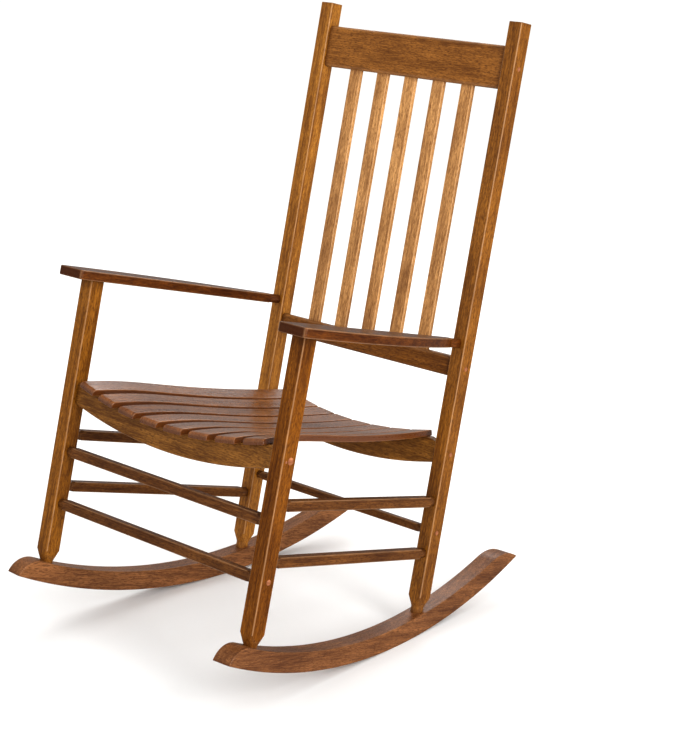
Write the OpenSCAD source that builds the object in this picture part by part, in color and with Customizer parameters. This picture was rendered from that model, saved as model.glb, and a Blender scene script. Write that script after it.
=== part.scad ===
// Rocking chair with a slatted back and a dished, slatted seat. Millimetres, +Z up.
// The sitter faces -Y, so the sitter's left is +X. The origin is on the floor, under
// the middle of the chair.
//
// Every piece is drawn in the chair's own frame, where the front posts stand upright:
// x is to the sitter's left, y runs back from the front faces of the front posts, and
// z runs up along the posts from a level just above the seat. at_rest() then leans the
// whole chair back until it stands on the curve of its rockers.

/* [Rest position] */
// Angle by which the posts lean back when the chair stands empty, in degrees
lean = 14.4; // [13:0.1:16]

/* [Posts] */
// Width of a front post, side to side
front_post_w = 33; // [31:0.5:36]
// Depth of a front post, front to back
front_post_d = 32; // [31:0.5:36]
// Width of a back post, side to side
back_post_w = 32; // [31:0.5:36]
// Depth of a back post, front to back
back_post_d = 31; // [30:0.5:35]
// Distance from the middle of the chair to the middle of a front post
front_post_x = 293; // [286:1:300]
// Distance from the middle of the chair to the middle of a back post
back_post_x = 251.5; // [246:0.5:256]
// Distance between the front faces of a front and a back post, at seat height
back_post_y = 482.3; // [476:0.1:490]
// Forward rake of the back posts against the front posts, in degrees
back_rake = 0.68; // [0.4:0.02:1]
// Height of the back posts' tops
back_post_top = 824; // [800:1:840]
// Radius of the posts' long edges
post_edge = 3; // [2:0.5:4]

/* [Rockers] */
// Radius of a rocker's lower edge
rocker_r = 1038; // [1020:1:1060]
// Height of a rocker from its lower edge to its upper edge
rocker_h = 39; // [37:0.5:42]
// Thickness of a rocker
rocker_t = 41; // [38:0.5:43]
// Distance of the rocker arc's centre behind the front posts' front faces
rocker_centre_y = 189; // [185:1:193]
// Height of the rocker arc's centre
rocker_centre_z = 624.6; // [622:0.2:628]
// Angle of the front tip before the arc's centre, in degrees
front_tip_angle = 13.6; // [13:0.1:14.5]
// Angle of the rear tip behind the arc's centre, in degrees
rear_tip_angle = 35.6; // [35:0.1:36.5]
// Radius of the rounding above the front tip
nose_r = 44; // [42:1:50]
// Radius of the rounding above the rear tip
tail_r = 93; // [85:1:100]

/* [Seat] */
// Width of a seat slat
seat_slat_w = 47; // [44:0.5:48]
// Thickness of a seat slat
seat_slat_t = 12; // [11:0.5:13]
// Distance between the centre lines of two neighbouring slats at their front ends
seat_pitch = 67.2; // [66:0.1:68]
// Height of the seat's crest, which the front of each slat curves down from
seat_crest_z = -11.9; // [-13:0.1:-11]
// Distance of the crest behind the front posts' front faces
seat_crest_y = 119; // [115:1:123]
// Length of the flat stretch behind the crest
seat_flat = 77; // [70:1:84]
// Radius of the slats' rounded front stretch
seat_front_r = 1050; // [1000:10:1100]
// Radius of the slats' hollow rear stretch
seat_rear_r = 2850; // [2750:10:2950]
// Thickness of the two seat rails
seat_rail_t = 20; // [18:0.5:21]

/* [Back] */
// Height of the crest rail
crest_h = 83; // [78:1:88]
// Height of the crest rail's middle
crest_z = 736.8; // [730:0.2:745]
// Height of the lower back rail
lower_rail_h = 40; // [38:1:43]
// Height of the lower back rail's middle
lower_rail_z = 159; // [156:0.5:160]
// Thickness of both back rails
back_rail_t = 20; // [18:0.5:21]
// Width of a back slat
back_slat_w = 30; // [26:0.5:34]
// Thickness of a back slat
back_slat_t = 9; // [8:0.5:10]
// Distance between the centre lines of two neighbouring back slats
back_slat_pitch = 75; // [70:0.5:78]

/* [Arms] */
// Thickness of an arm
arm_t = 18.5; // [18.2:0.1:20]
// Height of an arm's underside where it passes the front post's front face
arm_z = 200; // [197:0.5:203]
// Distance by which an arm reaches forward of the front post
arm_overhang = 33; // [26:1:38]
// Distance from the middle of the chair to the outermost point of an arm
arm_outer_x = 341.5; // [338:0.5:345]
// Slope of an arm, down to the back, in degrees
arm_slope = 0.43; // [0.3:0.01:0.6]

/* [Stretchers] */
// Width and height of the front and side stretchers
stretcher_w = 20; // [19.8:0.1:21]
// Width and height of the rear stretcher
rear_stretcher_w = 16; // [15.8:0.1:17]
// Height of the upper side stretchers
side_upper_z = -104.5; // [-108:0.5:-100]
// Height of the lower side stretchers
side_lower_z = -207; // [-211:0.5:-204]
// Height of the upper front stretcher
front_upper_z = -135.5; // [-139:0.5:-132]
// Height of the lower front stretcher
front_lower_z = -239; // [-243:0.5:-236]
// Height of the rear stretcher
rear_stretcher_z = -164; // [-168:0.5:-160]

/* [Hidden] */

$fn = 96;
arc_fn = 720;
// Gap round tenons and screws, overlap of joined shapes, and a length beyond the chair
clear = 0.1;
overlap = 1;
far = 2000;

post_colour = "peru";
rail_colour = "sienna";
slat_colour = "burlywood";
plug_colour = "darkorange";
screw_colour = "silver";

// Posts and the line that joins a front and a back post
front_post_y = front_post_d / 2;
back_post_mid_y = back_post_y + back_post_d / 2;
front_inner_x = front_post_x - front_post_w / 2;
back_inner_x = back_post_x - back_post_w / 2;
toe = atan((front_post_x - back_post_x) / (back_post_mid_y - front_post_y));
toe_x = front_post_x + front_post_y * tan(toe);

// Feet: where a post is turned down to the round tenon that enters its rocker
foot_d = 24.4;
foot_taper = 24;
foot_corner_r = 22.5;
foot_tenon = 24;
front_neck_z = -357;
back_neck_z = -314;
back_drop = 10;
socket_h = 100;

// Rocker
rocker_top_r = rocker_r - rocker_h;
nose_mid_r = rocker_top_r + nose_r;
tail_mid_r = rocker_top_r + tail_r;
end_sweep = 20;
nose_angle = front_tip_angle - asin(sqrt(nose_r ^ 2 - (nose_mid_r - rocker_r) ^ 2) / rocker_r);
tail_angle = rear_tip_angle - asin(sqrt(tail_r ^ 2 - (tail_mid_r - rocker_r) ^ 2) / rocker_r);

// Standing at rest: depth of the rockers' lowest point and middle of the chair's length
rocker_foot = sqrt(1 - (sin(toe) * sin(lean)) ^ 2) * rocker_r + rocker_t / 2 * sin(toe) * sin(lean);
rest_z = rocker_foot + rocker_centre_y * cos(toe) * sin(lean) - rocker_centre_z * cos(lean);
function rocker_tip_y(angle) =
    (rocker_centre_y + rocker_r * sin(angle)) * cos(toe) * cos(lean)
    + (rocker_centre_z - rocker_r * cos(angle)) * sin(lean);
rest_y = -(rocker_tip_y(-front_tip_angle) + rocker_tip_y(rear_tip_angle)) / 2;

// Seat: the slats fan out round a sloping axis, so the seat is a shallow dish
seat_slats = 8;
seat_front_y = -18;
slat_round = 8;
seat_rear_y = 499;
fan_y = 2347;
fan_z = -12;
fan_tilt = 26.2;
fan_axis = [0, -cos(fan_tilt), sin(fan_tilt)];
function fan_reach(y, z) = (fan_y - y) * cos(fan_tilt) + (z - fan_z) * sin(fan_tilt);
function fan_radius(y, z) = (fan_y - y) * sin(fan_tilt) - (z - fan_z) * cos(fan_tilt);
seat_hollow_y = seat_crest_y + seat_flat;
function seat_under_front(y) =
    seat_crest_z - seat_front_r + sqrt((seat_front_r - seat_slat_t) ^ 2 - (seat_crest_y - y) ^ 2);
function seat_under_rear(y) =
    seat_crest_z + seat_rear_r - sqrt((seat_rear_r + seat_slat_t) ^ 2 - (y - seat_hollow_y) ^ 2);
seat_step = seat_pitch / fan_radius(seat_front_y, seat_crest_z - seat_slat_t) * 180 / PI;
chord_rise = seat_slat_w ^ 2 / 8 / fan_radius(0, fan_z) + 0.05;

// Rounding of a slat's front edge: its middle, and its angle where it meets the slat's top
slat_round_y = seat_front_y + slat_round;
slat_round_angle = asin((seat_crest_y - slat_round_y) / (seat_front_r - slat_round));
slat_round_z = seat_crest_z - seat_front_r + (seat_front_r - slat_round) * cos(slat_round_angle);

// Seat rails
front_rail_y = 9;
rear_rail_y = back_post_y + (back_post_d - seat_rail_t) / 2;
front_rail_top = 0;
front_rail_bottom = -74.6;
front_rail_r = 1150;
rear_rail_top = 16;
rear_rail_shoulder = 208;
rear_rail_end_top = 9.6;
rear_rail_bottom = -58.5;
rear_rail_r = 990;
tenon_len = 12;
rail_tenon_t = 11;
seat_tenon_h = 30;
tenon_margin = 12;
rear_tenon_z = -14;
front_rail_mid_y = front_rail_y + seat_rail_t / 2;
rear_rail_mid_y = rear_rail_y + seat_rail_t / 2;

// Back slats
back_slats = 5;
slat_housing = 10;
back_rail_edge = 7.5;
back_slat_edge = 2;
crest_bottom = crest_z - crest_h / 2;
lower_rail_upper = lower_rail_z + lower_rail_h / 2;

// Arm outline
arm_inner_front = 271.2;
arm_inner_slope = 0.0625;
arm_arc_r = 1150;
arm_arc_y = 21;
arm_end_y = 453;
arm_back_y = back_post_y + 17;
arm_neck_d = 18;
arm_round = 11;
arm_round_r = sqrt((arm_neck_d / 2) ^ 2 + arm_round ^ 2);
arm_outer_cut = 4;
arm_inner_cut = 3.5;
arm_corner_x = arm_outer_x - 1;
post_pin_d = 20;
post_pin_h = 11;
pin_root = 5;

// Stretchers, with their turned ends
stretcher_edge = 3;
neck_less = 0.4;
corner_ratio = 1.45;
neck_len = 10;
turn_len = 7;
stretcher_tenon = 19;
front_stretcher_y = 17.5;
side_front = front_post_d / cos(toe);
side_len = (back_post_y - front_post_d) / cos(toe);

// Plugs and the screws behind them
plug_len = 6;
plug_rise = 1;
plug_crown = 0.6;
screw_head_d = 8;
screw_head_h = 3.5;
screw_d = 5;
screw_len = 52;
large_plug_d = 14;
lower_plug_d = 11;
small_plug_d = 9;
pin_d = 5;
pin_len = 10;
front_plug_z = -21;
rear_plug_z = -9;
pin_y = 8.4;
pin_z = -23;
back_joints = [crest_z, lower_rail_z, rear_plug_z, rear_stretcher_z];

// Seat screws, driven up through the rails into the slats
seat_screw_d = 4;
seat_screw_head_d = 8;
seat_screw_head_h = 3;
seat_screw_grip = 15;
seat_screw_bite = 8;
seat_screw_reach = 80;
rear_screw_y = rear_rail_y + 5.5;

// ---------------------------------------------------------------- frames

// Leans the chair back on its rockers and sets it on the floor
module at_rest() {
    translate([0, rest_y, rest_z]) rotate([-lean, 0, 0]) children();
}

// The right side of the chair is the mirror image of the left
module to_side(side) {
    mirror([side < 0 ? 1 : 0, 0, 0]) children();
}

// Frame of the raked back: z runs up a back post's middle line, from seat height
module along_back() {
    translate([0, back_post_mid_y, 0]) rotate([back_rake, 0, 0]) children();
}

// Frame of the left side: y runs along the toed-in line through both posts
module along_side() {
    translate([toe_x, 0, 0]) rotate([0, 0, toe]) children();
}

// Frame of the left arm: z = 0 is the underside
module along_arm() {
    translate([0, 0, arm_z]) rotate([-arm_slope, 0, 0]) children();
}

// Turns a piece from the middle of the seat to the place of slat number i
module fan_out(i) {
    translate([0, fan_y, fan_z])
        rotate(a = (i - (seat_slats + 1) / 2) * seat_step, v = fan_axis)
            translate([0, -fan_y, -fan_z]) children();
}

// ---------------------------------------------------------------- shapes

// Rectangle with rounded corners, centred
module rounded_rect(w, h, r) {
    square([w - 2 * r, h], center = true);
    square([w, h - 2 * r], center = true);
    for (x = [-1, 1], y = [-1, 1])
        translate([x * (w / 2 - r), y * (h / 2 - r)]) circle(r);
}

// Cylinder along +y from the origin
module y_rod(d, length) {
    rotate([-90, 0, 0]) cylinder(d = d, h = length);
}

// Cylinder along +x from the origin
module x_rod(d, length) {
    rotate([0, 90, 0]) cylinder(d = d, h = length);
}

// Bar along +z up to a height, turned down at neck_z to a round neck, which runs on
// down for neck_h and then, as a tenon, into the rocker
module footed_post(w, d, neck_z, top, neck_h) {
    intersection() {
        translate([0, 0, neck_z]) linear_extrude(top - neck_z) rounded_rect(w, d, post_edge);
        translate([0, 0, neck_z]) union() {
            cylinder(r1 = foot_d / 2, r2 = foot_corner_r, h = foot_taper);
            translate([0, 0, foot_taper]) cylinder(r = foot_corner_r, h = far);
        }
    }
    translate([0, 0, neck_z - neck_h - foot_tenon])
        cylinder(d = foot_d, h = foot_tenon + neck_h + overlap);
}

// Stretcher along +z: a rounded bar of length len between two faces, turned at both
// ends to a round neck that runs on into the posts as a tenon
module turned_bar(w, len) {
    neck = w - neck_less;
    corner = corner_ratio * w;
    intersection() {
        translate([0, 0, neck_len]) linear_extrude(len - 2 * neck_len)
            rounded_rect(w, w, stretcher_edge);
        translate([0, 0, neck_len]) union() {
            cylinder(d1 = neck, d2 = corner, h = turn_len);
            translate([0, 0, turn_len])
                cylinder(d = corner, h = len - 2 * neck_len - 2 * turn_len);
            translate([0, 0, len - 2 * neck_len - turn_len])
                cylinder(d1 = corner, d2 = neck, h = turn_len);
        }
    }
    translate([0, 0, -stretcher_tenon]) cylinder(d = neck, h = len + 2 * stretcher_tenon);
}

// Outline of a rocker around its arc's centre: a band that ends in a rounded nose
module rocker_outline() {
    difference() {
        intersection() {
            circle(rocker_r, $fn = arc_fn);
            wedge(-nose_angle, tail_angle);
        }
        circle(rocker_top_r, $fn = arc_fn);
    }
    rocker_end(-nose_angle, -nose_angle - end_sweep, nose_mid_r, nose_r);
    rocker_end(tail_angle, tail_angle + end_sweep, tail_mid_r, tail_r);
}

// End of a rocker: its upper edge curls down to a point on the lower edge
module rocker_end(from, to, mid_r, r) {
    intersection() {
        circle(rocker_r, $fn = arc_fn);
        rotate(from) translate([0, -mid_r]) circle(r, $fn = arc_fn);
        wedge(from, to);
    }
}

// Triangle that opens downward from the origin between two angles
module wedge(from, to) {
    polygon([[0, 0], 2 * rocker_r * [sin(from), -cos(from)], 2 * rocker_r * [sin(to), -cos(to)]]);
}

// Stretch of an arched band between two depths: mid is its arc's centre
module band(mid, outer_r, inner_r, from_y, to_y) {
    intersection() {
        difference() {
            translate(mid) circle(outer_r, $fn = arc_fn);
            translate(mid) circle(inner_r, $fn = arc_fn);
        }
        translate([from_y, -far / 4]) square([to_y - from_y, far / 2]);
    }
}

// What the rounding takes off the upper front edge of a slat, in side view
module slat_front_waste() {
    outward = slat_round + overlap;
    translate([slat_round_y, slat_round_z]) difference() {
        polygon([
            [0, 0], 2 * outward * [-sin(slat_round_angle), cos(slat_round_angle)],
            [-outward, 2 * outward], [-outward, 0]
        ]);
        circle(slat_round);
    }
}

// Side view of a seat slat: rounded down in front, flat, then hollow to the back
module seat_slat_outline() {
    difference() {
        band([seat_crest_y, seat_crest_z - seat_front_r],
            seat_front_r, seat_front_r - seat_slat_t, seat_front_y, seat_crest_y);
        slat_front_waste();
    }
    translate([seat_crest_y, seat_crest_z - seat_slat_t]) square([seat_flat, seat_slat_t]);
    band([seat_hollow_y, seat_crest_z + seat_rear_r],
        seat_rear_r + seat_slat_t, seat_rear_r, seat_hollow_y, seat_rear_y);
}

// Draws a side view, given as depth and height, as a solid w wide across the chair
module across(w) {
    rotate([90, 0, 90]) linear_extrude(w, center = true) children();
}

// Draws a front view, given as x and height, as a solid from depth y, t thick
module facing(y, t) {
    translate([0, y + t, 0]) rotate([90, 0, 0]) linear_extrude(t) children();
}

// Solid bounded by the undersides of all slats, from in front of one rail to behind it
module under_seat(front_y, front_z, rear_y, rear_z) {
    near = fan_reach(rear_y, rear_z);
    reach = fan_reach(front_y, front_z) - near;
    near_r = fan_radius(rear_y, rear_z) + chord_rise;
    slope = (fan_radius(front_y, front_z) + chord_rise - near_r) / reach;
    translate([0, fan_y, fan_z]) rotate([90 - fan_tilt, 0, 0]) translate([0, 0, near - reach])
        cylinder(r1 = near_r - reach * slope, r2 = near_r + 2 * reach * slope, h = 3 * reach,
            $fn = arc_fn);
}

// Seat screw at depth y, where the slats' underside is at height z
module seat_screw_line(y, z, gap) {
    translate([0, y, z - seat_screw_grip - seat_screw_head_h])
        cylinder(d = seat_screw_head_d + 2 * gap, h = seat_screw_head_h);
    translate([0, y, z - seat_screw_grip - 0.5 * seat_screw_head_h])
        cylinder(d = seat_screw_d + 2 * gap,
            h = seat_screw_grip + seat_screw_bite + 0.5 * seat_screw_head_h);
}

// All eight seat screws of one rail
module seat_screw_row(y, z) {
    for (i = [1 : seat_slats]) fan_out(i) seat_screw_line(y, z, 0);
}

// Holes for one rail's seat screws, opened out from below for their heads
module seat_screw_holes(y, z) {
    for (i = [1 : seat_slats]) fan_out(i) {
        seat_screw_line(y, z, clear);
        translate([0, y, z - seat_screw_grip - seat_screw_reach])
            cylinder(d = seat_screw_head_d + 2 * clear, h = seat_screw_reach);
    }
}

// Joint screw along -x, under a plug whose outer face is at the origin
module joint_screw(gap) {
    translate([-plug_len - screw_head_h, 0, 0]) x_rod(screw_head_d + 2 * gap, screw_head_h);
    translate([-plug_len - screw_len, 0, 0])
        x_rod(screw_d + 2 * gap, screw_len - screw_head_h / 2);
}

// Space for a joint screw and its plug
module joint_bore(d) {
    translate([-plug_len, 0, 0]) x_rod(d, plug_len + overlap);
    joint_screw(clear);
}

// Plug whose rim lies in the post's outer face, with a low raised head
module plug(d, length) {
    translate([-length, 0, 0]) x_rod(d, length);
    rotate([0, 90, 0]) cylinder(d1 = d, d2 = plug_crown * d, h = plug_rise);
}

// Places on the left posts' outer faces where a plug covers a screw
module at_front_rail_joint() {
    translate([front_post_x + front_post_w / 2, front_rail_mid_y, front_plug_z]) children();
}
module at_front_pin() {
    translate([front_post_x + front_post_w / 2, pin_y, pin_z]) children();
}
module at_stretcher_joint() {
    translate([front_post_x + front_post_w / 2, front_stretcher_y, front_lower_z]) children();
}
module at_back_joint(z) {
    along_back() translate([back_post_x + back_post_w / 2, 0, z]) children();
}

// Mortise for a rail's stub tenon, centred, t thick and h high, cut from x inward
module mortise(x, h) {
    translate([x + tenon_len / 2, 0, 0])
        cube([tenon_len + 2 * clear, rail_tenon_t + 2 * clear, h + 2 * clear], center = true);
}

// ---------------------------------------------------------------- rockers and posts

// Left rocker, with the two sockets that the posts' feet enter
module left_rocker() {
    difference() {
        along_side() translate([0, rocker_centre_y, rocker_centre_z])
            across(rocker_t) rocker_outline();
        translate([front_post_x, front_post_y, front_neck_z - foot_tenon - clear])
            cylinder(d = foot_d + 2 * clear, h = socket_h);
        along_back() translate([back_post_x, 0, back_neck_z - foot_tenon - back_drop - clear])
            cylinder(d = foot_d + 2 * clear, h = socket_h);
    }
}

// Left front post: foot, body and the pin that enters the arm
module left_front_post() {
    difference() {
        translate([front_post_x, front_post_y, 0])
            footed_post(front_post_w, front_post_d, front_neck_z, arm_z + overlap, 0);
        along_arm() translate([-far / 2, -far / 2, 0]) cube(far);
        translate([0, front_rail_mid_y, front_plug_z]) mortise(front_inner_x, seat_tenon_h);
        at_front_rail_joint() joint_bore(large_plug_d);
        at_front_pin() translate([-pin_len, 0, 0]) x_rod(pin_d, pin_len + overlap);
        at_stretcher_joint() joint_bore(lower_plug_d);
        for (z = [front_upper_z, front_lower_z])
            translate([front_inner_x - overlap, front_stretcher_y, z])
                x_rod(stretcher_w - neck_less + 2 * clear, stretcher_tenon + overlap + clear);
        side_mortises();
    }
    along_arm() translate([front_post_x, front_post_y, -pin_root])
        cylinder(d = post_pin_d, h = post_pin_h + pin_root);
}

// Left back post: foot and body
module left_back_post() {
    difference() {
        along_back() translate([back_post_x, 0, 0])
            footed_post(back_post_w, back_post_d, back_neck_z, back_post_top, back_drop);
        along_back() translate([0, 0, crest_z])
            mortise(back_inner_x, crest_h - 2 * tenon_margin);
        along_back() translate([0, 0, lower_rail_z])
            mortise(back_inner_x, lower_rail_h - tenon_margin);
        translate([0, rear_rail_mid_y, rear_tenon_z]) mortise(back_inner_x, seat_tenon_h);
        for (z = back_joints) at_back_joint(z) joint_bore(small_plug_d);
        along_back() translate([back_inner_x - overlap, 0, rear_stretcher_z])
            x_rod(rear_stretcher_w - neck_less + 2 * clear, stretcher_tenon + overlap + clear);
        along_arm() translate([back_post_x, arm_end_y, arm_t / 2])
            y_rod(arm_neck_d + 2 * clear, arm_back_y - arm_end_y + clear);
        side_mortises();
    }
}

// Sockets in both left posts for the side stretchers' tenons
module side_mortises() {
    for (z = [side_upper_z, side_lower_z]) at_side_stretcher(z)
        translate([0, 0, -stretcher_tenon - clear])
            cylinder(d = stretcher_w - neck_less + 2 * clear,
                h = side_len + 2 * stretcher_tenon + 2 * clear);
}

// Place of a left side stretcher: z runs back from the front post's rear face
module at_side_stretcher(z) {
    along_side() translate([0, side_front, z]) rotate([-90, 0, 0]) children();
}

// ---------------------------------------------------------------- seat

// Front rail under the slats: bellied below, dished above
module front_rail() {
    difference() {
        union() {
            facing(front_rail_y, seat_rail_t) intersection() {
                translate([-front_inner_x, -far / 10])
                    square([2 * front_inner_x, far / 10 + front_rail_top]);
                translate([0, front_rail_bottom + front_rail_r]) circle(front_rail_r, $fn = arc_fn);
            }
            translate([0, front_rail_mid_y, front_plug_z])
                cube([2 * (front_inner_x + tenon_len), rail_tenon_t, seat_tenon_h], center = true);
        }
        under_seat(front_rail_y - overlap, seat_under_front(front_rail_y - overlap),
            front_rail_y + seat_rail_t + overlap,
            seat_under_front(front_rail_y + seat_rail_t + overlap));
        seat_screw_holes(front_rail_mid_y, seat_under_front(front_rail_mid_y));
        for (side = [-1, 1]) to_side(side) at_front_rail_joint() joint_screw(clear);
    }
}

// Rear rail under the slats, between the back posts
module rear_rail() {
    difference() {
        union() {
            facing(rear_rail_y, seat_rail_t) intersection() {
                polygon([
                    [-back_inner_x, -far / 10], [back_inner_x, -far / 10],
                    [back_inner_x, rear_rail_end_top], [rear_rail_shoulder, rear_rail_top],
                    [-rear_rail_shoulder, rear_rail_top], [-back_inner_x, rear_rail_end_top]
                ]);
                translate([0, rear_rail_bottom + rear_rail_r]) circle(rear_rail_r, $fn = arc_fn);
            }
            translate([0, rear_rail_mid_y, rear_tenon_z])
                cube([2 * (back_inner_x + tenon_len), rail_tenon_t, seat_tenon_h], center = true);
        }
        under_seat(rear_rail_y - overlap, seat_under_rear(rear_rail_y - overlap),
            rear_rail_y + seat_rail_t + overlap,
            seat_under_rear(rear_rail_y + seat_rail_t + overlap));
        seat_screw_holes(rear_screw_y, seat_under_rear(rear_screw_y));
        for (side = [-1, 1]) to_side(side) at_back_joint(rear_plug_z) joint_screw(clear);
    }
}

// Seat slat number i, counted from the sitter's right
module seat_slat(i) {
    color(slat_colour) at_rest() fan_out(i) difference() {
        across(seat_slat_w) seat_slat_outline();
        seat_screw_line(front_rail_mid_y, seat_under_front(front_rail_mid_y), clear);
        seat_screw_line(rear_screw_y, seat_under_rear(rear_screw_y), clear);
    }
}

// ---------------------------------------------------------------- back

// Rail between the back posts, centred on height z, with a tenon at each end
module back_rail(z, h, tenon_h) {
    translate([0, 0, z]) {
        across(2 * back_inner_x) rounded_rect(back_rail_t, h, back_rail_edge);
        cube([2 * (back_inner_x + tenon_len), rail_tenon_t, tenon_h], center = true);
    }
}

// Housings for the back slats' ends, whose middle is at height z
module slat_housings(z) {
    for (i = [1 : back_slats]) translate([back_slat_x(i), 0, z])
        cube([back_slat_w + 2 * clear, back_slat_t + 2 * clear, 2 * slat_housing + 2 * clear],
            center = true);
}
function back_slat_x(i) = (i - (back_slats + 1) / 2) * back_slat_pitch;

// Back slat number i, counted from the sitter's right
module back_slat(i) {
    color(slat_colour) at_rest() along_back()
        translate([back_slat_x(i), 0, lower_rail_upper - slat_housing])
            linear_extrude(crest_bottom - lower_rail_upper + 2 * slat_housing)
                rounded_rect(back_slat_w, back_slat_t, back_slat_edge);
}

// ---------------------------------------------------------------- arms

// Plan of the left arm: straight inside, bowed outside, small corners cut off
module arm_outline() {
    front = -arm_overhang;
    beyond = arm_corner_x + 2 * overlap;
    function inner(y) = arm_inner_front - (y - front) * arm_inner_slope;
    intersection() {
        translate([arm_outer_x - arm_arc_r, arm_arc_y]) circle(arm_arc_r, $fn = arc_fn);
        polygon([
            [inner(front) + arm_inner_cut, front], [arm_corner_x - arm_outer_cut, front],
            [beyond, front + arm_outer_cut + 2 * overlap], [beyond, arm_end_y],
            [inner(arm_end_y), arm_end_y], [inner(front + arm_inner_cut), front + arm_inner_cut]
        ]);
    }
}

// Left arm: a board that narrows to a round neck and enters the back post
module left_arm() {
    round_y = arm_end_y - arm_round;
    along_arm() difference() {
        union() {
            intersection() {
                linear_extrude(arm_t) arm_outline();
                union() {
                    translate([-far / 2, round_y - far, -far / 2]) cube(far);
                    translate([back_post_x, round_y, arm_t / 2]) sphere(arm_round_r);
                }
            }
            translate([back_post_x, round_y, arm_t / 2]) y_rod(arm_neck_d, arm_back_y - round_y);
        }
        translate([front_post_x, front_post_y, -overlap])
            cylinder(d = post_pin_d + 2 * clear, h = post_pin_h + overlap + clear);
    }
}

// ---------------------------------------------------------------- nodes

module rocker(side) color(rail_colour) at_rest() to_side(side) left_rocker();
module front_post(side) color(post_colour) at_rest() to_side(side) left_front_post();
module back_post(side) color(post_colour) at_rest() to_side(side) left_back_post();
module arm(side) color(rail_colour) at_rest() to_side(side) left_arm();

module seat_front_rail() color(rail_colour) at_rest() front_rail();
module seat_rear_rail() color(rail_colour) at_rest() rear_rail();

module crest_rail() color(rail_colour) at_rest() difference() {
    along_back() difference() {
        back_rail(crest_z, crest_h, crest_h - 2 * tenon_margin);
        slat_housings(crest_bottom);
    }
    for (side = [-1, 1]) to_side(side) at_back_joint(crest_z) joint_screw(clear);
}

module lower_back_rail() color(rail_colour) at_rest() difference() {
    along_back() difference() {
        back_rail(lower_rail_z, lower_rail_h, lower_rail_h - tenon_margin);
        slat_housings(lower_rail_upper);
    }
    for (side = [-1, 1]) to_side(side) at_back_joint(lower_rail_z) joint_screw(clear);
}

module side_stretcher(side, z) color(rail_colour) at_rest() to_side(side)
    at_side_stretcher(z) turned_bar(stretcher_w, side_len);

module front_stretcher(z) {
    translate([-front_inner_x, front_stretcher_y, z])
        rotate([0, 90, 0]) turned_bar(stretcher_w, 2 * front_inner_x);
}

module front_stretcher_upper() color(rail_colour) at_rest() front_stretcher(front_upper_z);

module front_stretcher_lower() color(rail_colour) at_rest() difference() {
    front_stretcher(front_lower_z);
    for (side = [-1, 1]) to_side(side) at_stretcher_joint() joint_screw(clear);
}

module rear_stretcher() color(rail_colour) at_rest() along_back() difference() {
    translate([-back_inner_x, 0, rear_stretcher_z])
        rotate([0, 90, 0]) turned_bar(rear_stretcher_w, 2 * back_inner_x);
    for (side = [-1, 1]) to_side(side)
        translate([back_post_x + back_post_w / 2, 0, rear_stretcher_z]) joint_screw(clear);
}

module front_rail_plugs() color(plug_colour) at_rest()
    for (side = [-1, 1]) to_side(side) at_front_rail_joint() plug(large_plug_d, plug_len);

module front_rail_pins() color(plug_colour) at_rest()
    for (side = [-1, 1]) to_side(side) at_front_pin() plug(pin_d, pin_len);

module stretcher_plugs() color(plug_colour) at_rest()
    for (side = [-1, 1]) to_side(side) at_stretcher_joint() plug(lower_plug_d, plug_len);

module back_post_plugs() color(plug_colour) at_rest()
    for (side = [-1, 1], z = back_joints) to_side(side) at_back_joint(z)
        plug(small_plug_d, plug_len);

module joint_screws() color(screw_colour) at_rest()
    for (side = [-1, 1]) to_side(side) {
        at_front_rail_joint() joint_screw(0);
        at_stretcher_joint() joint_screw(0);
        for (z = back_joints) at_back_joint(z) joint_screw(0);
    }

module seat_screws() color(screw_colour) at_rest() {
    seat_screw_row(front_rail_mid_y, seat_under_front(front_rail_mid_y));
    seat_screw_row(rear_screw_y, seat_under_rear(rear_screw_y));
}

rocker(1);  // rocker_left
rocker(-1);  // rocker_right
front_post(1);  // front_post_left
front_post(-1);  // front_post_right
back_post(1);  // back_post_left
back_post(-1);  // back_post_right
seat_front_rail();
seat_rear_rail();
for (i = [1 : seat_slats])
    seat_slat(i);
crest_rail();
lower_back_rail();
for (i = [1 : back_slats])
    back_slat(i);
arm(1);  // arm_left
arm(-1);  // arm_right
side_stretcher(1, side_upper_z);  // side_stretcher_upper_left
side_stretcher(-1, side_upper_z);  // side_stretcher_upper_right
side_stretcher(1, side_lower_z);  // side_stretcher_lower_left
side_stretcher(-1, side_lower_z);  // side_stretcher_lower_right
front_stretcher_upper();
front_stretcher_lower();
rear_stretcher();
front_rail_plugs();
front_rail_pins();
stretcher_plugs();
back_post_plugs();
joint_screws();
seat_screws();
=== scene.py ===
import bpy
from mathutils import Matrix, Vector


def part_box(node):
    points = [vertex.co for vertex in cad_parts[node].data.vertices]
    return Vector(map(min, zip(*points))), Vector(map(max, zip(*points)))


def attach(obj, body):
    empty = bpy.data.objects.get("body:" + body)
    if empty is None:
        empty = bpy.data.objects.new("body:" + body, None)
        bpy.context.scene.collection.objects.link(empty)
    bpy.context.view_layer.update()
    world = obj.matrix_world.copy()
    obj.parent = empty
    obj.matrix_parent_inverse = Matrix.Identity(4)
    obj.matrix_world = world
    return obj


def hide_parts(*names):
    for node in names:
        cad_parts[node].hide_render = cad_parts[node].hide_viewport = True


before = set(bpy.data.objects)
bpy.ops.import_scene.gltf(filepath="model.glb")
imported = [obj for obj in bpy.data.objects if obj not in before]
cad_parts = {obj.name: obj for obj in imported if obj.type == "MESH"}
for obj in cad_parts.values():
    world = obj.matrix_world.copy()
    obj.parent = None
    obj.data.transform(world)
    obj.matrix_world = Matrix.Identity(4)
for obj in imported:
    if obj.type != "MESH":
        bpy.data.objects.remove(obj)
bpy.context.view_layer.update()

import math
import random

import bpy
from mathutils import Matrix, Vector

# The looks of a wooden rocking chair. Sizes are in millimetres in the chair's own frame,
# where the front posts stand upright: x to the sitter's left, y back, z up along the posts.
# The whole chair leans back by LEAN, and stands where the CAD's left rocker stands.

MM = 0.001
LEAN = math.radians(14.4)

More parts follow.
